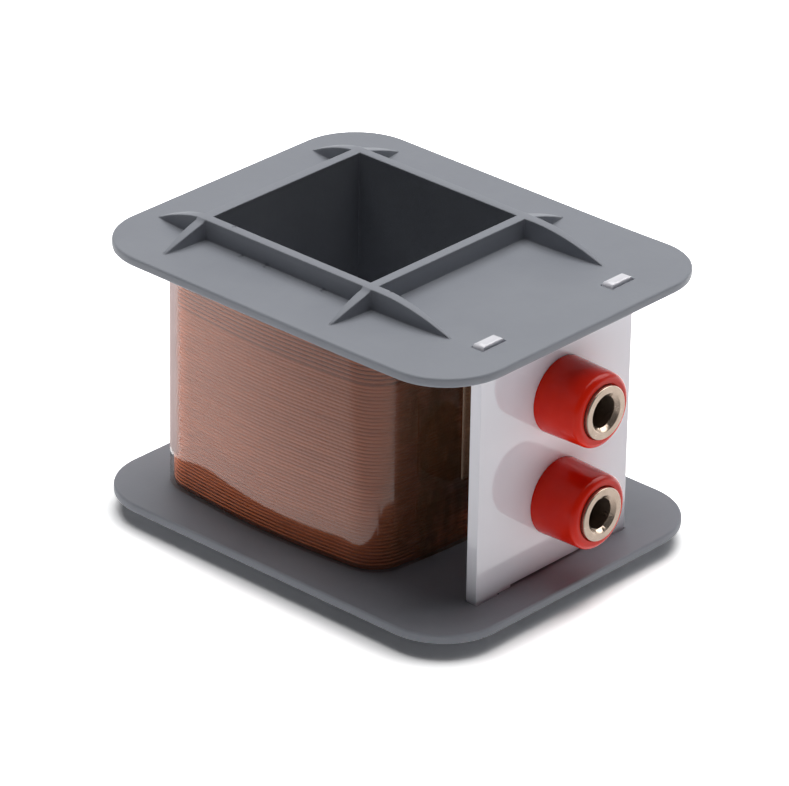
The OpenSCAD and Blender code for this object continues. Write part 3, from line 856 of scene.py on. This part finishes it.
# Insulating collars
# Red glossy plastic collars, moulded a little slimmer towards the front, with a round front edge and a
# shallow seat for the socket's head.
collar_l = 0.0067
collar_front_r = 0.00475
collar_round = 0.0008
collar_wave_h = 0.00003
head_r = 0.0034
head_t = 0.00075
head_seat = 0.0003
fit_gap = 0.0001
plate_front = plate_low.y
red_plastic, shader = surface("red_plastic", Roughness=0.2, Specular_IOR_Level=0.22)
blush = speckle(red_plastic, 160)
tone = ramp(red_plastic, blush, (0.66, 0.011, 0.002), (0.76, 0.020, 0.004))
link(red_plastic, tone, shader.inputs["Base Color"])
link(red_plastic, bumps(red_plastic, blush, collar_wave_h), shader.inputs["Normal"])


def collar(name, z):
    low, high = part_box(name)
    ring = round_bar(name + "_moulding", (high.x - low.x) / 2, z, plate_front - collar_l, plate_front, 96)
    front_y = plate_front - collar_l
    taper = collar_front_r / ((high.x - low.x) / 2)
    for v in ring.data.vertices:
        if v.co.y < front_y + overrun:
            v.co.x = socket_x + (v.co.x - socket_x) * taper
            v.co.z = z + (v.co.z - z) * taper
    bevel_edges(ring, lambda at, way: abs(at.y - front_y) < overrun and abs(way.y) < 0.1, collar_round, 8)
    seat = round_bar("seat", head_r + fit_gap, z, front_y - overrun, front_y + head_seat)
    hole = round_bar("hole", shank_hole_r, z, front_y - overrun, plate_front + overrun)
    combine(ring, [seat, hole], "DIFFERENCE")
    soften(ring, seam_round)
    place(ring, red_plastic, name, "red_plastic")


for name, z in (("lower_insulating_collar", lower_socket_z), ("upper_insulating_collar", upper_socket_z)):
    collar(name, z)

# Sockets
# Nickel-plated brass, turned, and bored through for a 4 mm plug with a countersunk mouth. The head sits in
# the collar's seat, and the shank behind the plate has a thread for the nut.
bore_r = 0.002
mouth_r = 0.0025
shank_r = 0.003
thread_pitch = 0.00075
thread_depth = 0.0004
thread_start = 0.0005
smooth_shank_l = 0.001
head_round = 0.0001
turned_edge = 0.00006
plating_h = 0.00001
nickel, shader = surface("nickel_plate", Metallic=0.85)
wear = speckle(nickel, 700)
link(nickel, ramp(nickel, wear, (0.40, 0.31, 0.245), (0.49, 0.39, 0.315)), shader.inputs["Base Color"])
link(nickel, spread(nickel, wear, 0.16, 0.28), shader.inputs["Roughness"])
link(nickel, bumps(nickel, wear, plating_h), shader.inputs["Normal"])


def thread(z, y0, y1):
    """A helical ridge on the shank: a four-sided wire wound round it."""
    bpy.ops.mesh.primitive_circle_add(
        vertices=4, radius=thread_pitch / 2, fill_type="NOTHING",
        location=(shank_r - thread_pitch / 2, 0, 0), rotation=(math.pi / 2, 0, 0),
    )
    ridge = bpy.context.object
    bpy.ops.object.transform_apply()
    wind = ridge.modifiers.new("wind", "SCREW")
    wind.screw_offset = thread_pitch
    wind.iterations = int(abs(y1 - y0) / thread_pitch) - 1
    wind.steps = wind.render_steps = 32
    bpy.ops.object.modifier_apply(modifier=wind.name)
    ridge.data.transform(
        Matrix.Translation((socket_x, y0 + thread_pitch / 2, z)) @ Matrix.Rotation(-math.pi / 2, 4, "X")
    )
    return ridge


def socket(name, z):
    low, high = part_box(name)
    head_y = low.y + head_t
    body = round_bar(name + "_turned", shank_r - thread_depth, z, head_y, high.y, 96)
    smooth_shank = round_bar("shank", shank_r, z, head_y, plate_high.y + smooth_shank_l, 96)
    head = round_bar("head", head_r, z, low.y, head_y, 96)
    bevel_edges(head, lambda at, way: abs(at.y - low.y) < overrun and abs(way.y) < 0.1, head_round, 3)
    combine(body, [smooth_shank, head])
    bore = round_bar("bore", bore_r, z, low.y - overrun, high.y + overrun, 96)
    countersink = round_bar("mouth", mouth_r + overrun, z, low.y - overrun, low.y + (mouth_r - bore_r), 96)
    for v in countersink.data.vertices:
        if v.co.y > low.y:
            v.co.x = socket_x + (v.co.x - socket_x) * bore_r / (mouth_r + overrun)
            v.co.z = z + (v.co.z - z) * bore_r / (mouth_r + overrun)
    combine(body, [bore, countersink], "DIFFERENCE")
    soften(body, turned_edge)
    ridge = thread(z, plate_high.y + thread_start, high.y)
    bpy.ops.object.select_all(action="DESELECT")
    ridge.select_set(True)
    body.select_set(True)
    bpy.context.view_layer.objects.active = body
    bpy.ops.object.join()
    place(body, nickel, name, "nickel_plate")


for name, z in (("lower_socket_body", lower_socket_z), ("upper_socket_body", upper_socket_z)):
    socket(name, z)

# Fittings behind the plate
# A tinned solder tag, a toothed lock washer and a nut on each shank, and a dome of solder on each tag. The
# nuts clamp the sockets in the plate. All of them keep their solids' form, and get their materials here.
tinned, shader = surface("tinned_metal", Metallic=1.0)
dull = speckle(tinned, 600)
link(tinned, ramp(tinned, dull, (0.55, 0.55, 0.53), (0.72, 0.72, 0.70)), shader.inputs["Base Color"])
link(tinned, spread(tinned, dull, 0.25, 0.45), shader.inputs["Roughness"])
zinc, shader = surface("zinc_steel", Metallic=1.0)
flake = speckle(zinc, 900)
link(zinc, ramp(zinc, flake, (0.42, 0.42, 0.43), (0.58, 0.58, 0.58)), shader.inputs["Base Color"])
link(zinc, spread(zinc, flake, 0.3, 0.5), shader.inputs["Roughness"])
metals = {"solder_tag": tinned, "lock_washer": zinc, "nut": nickel, "solder_joint": tinned}
for side in ("lower", "upper"):
    for part, mat in metals.items():
        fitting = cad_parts[side + "_" + part]
        fitting.data.materials.clear()
        fitting.data.materials.append(mat)
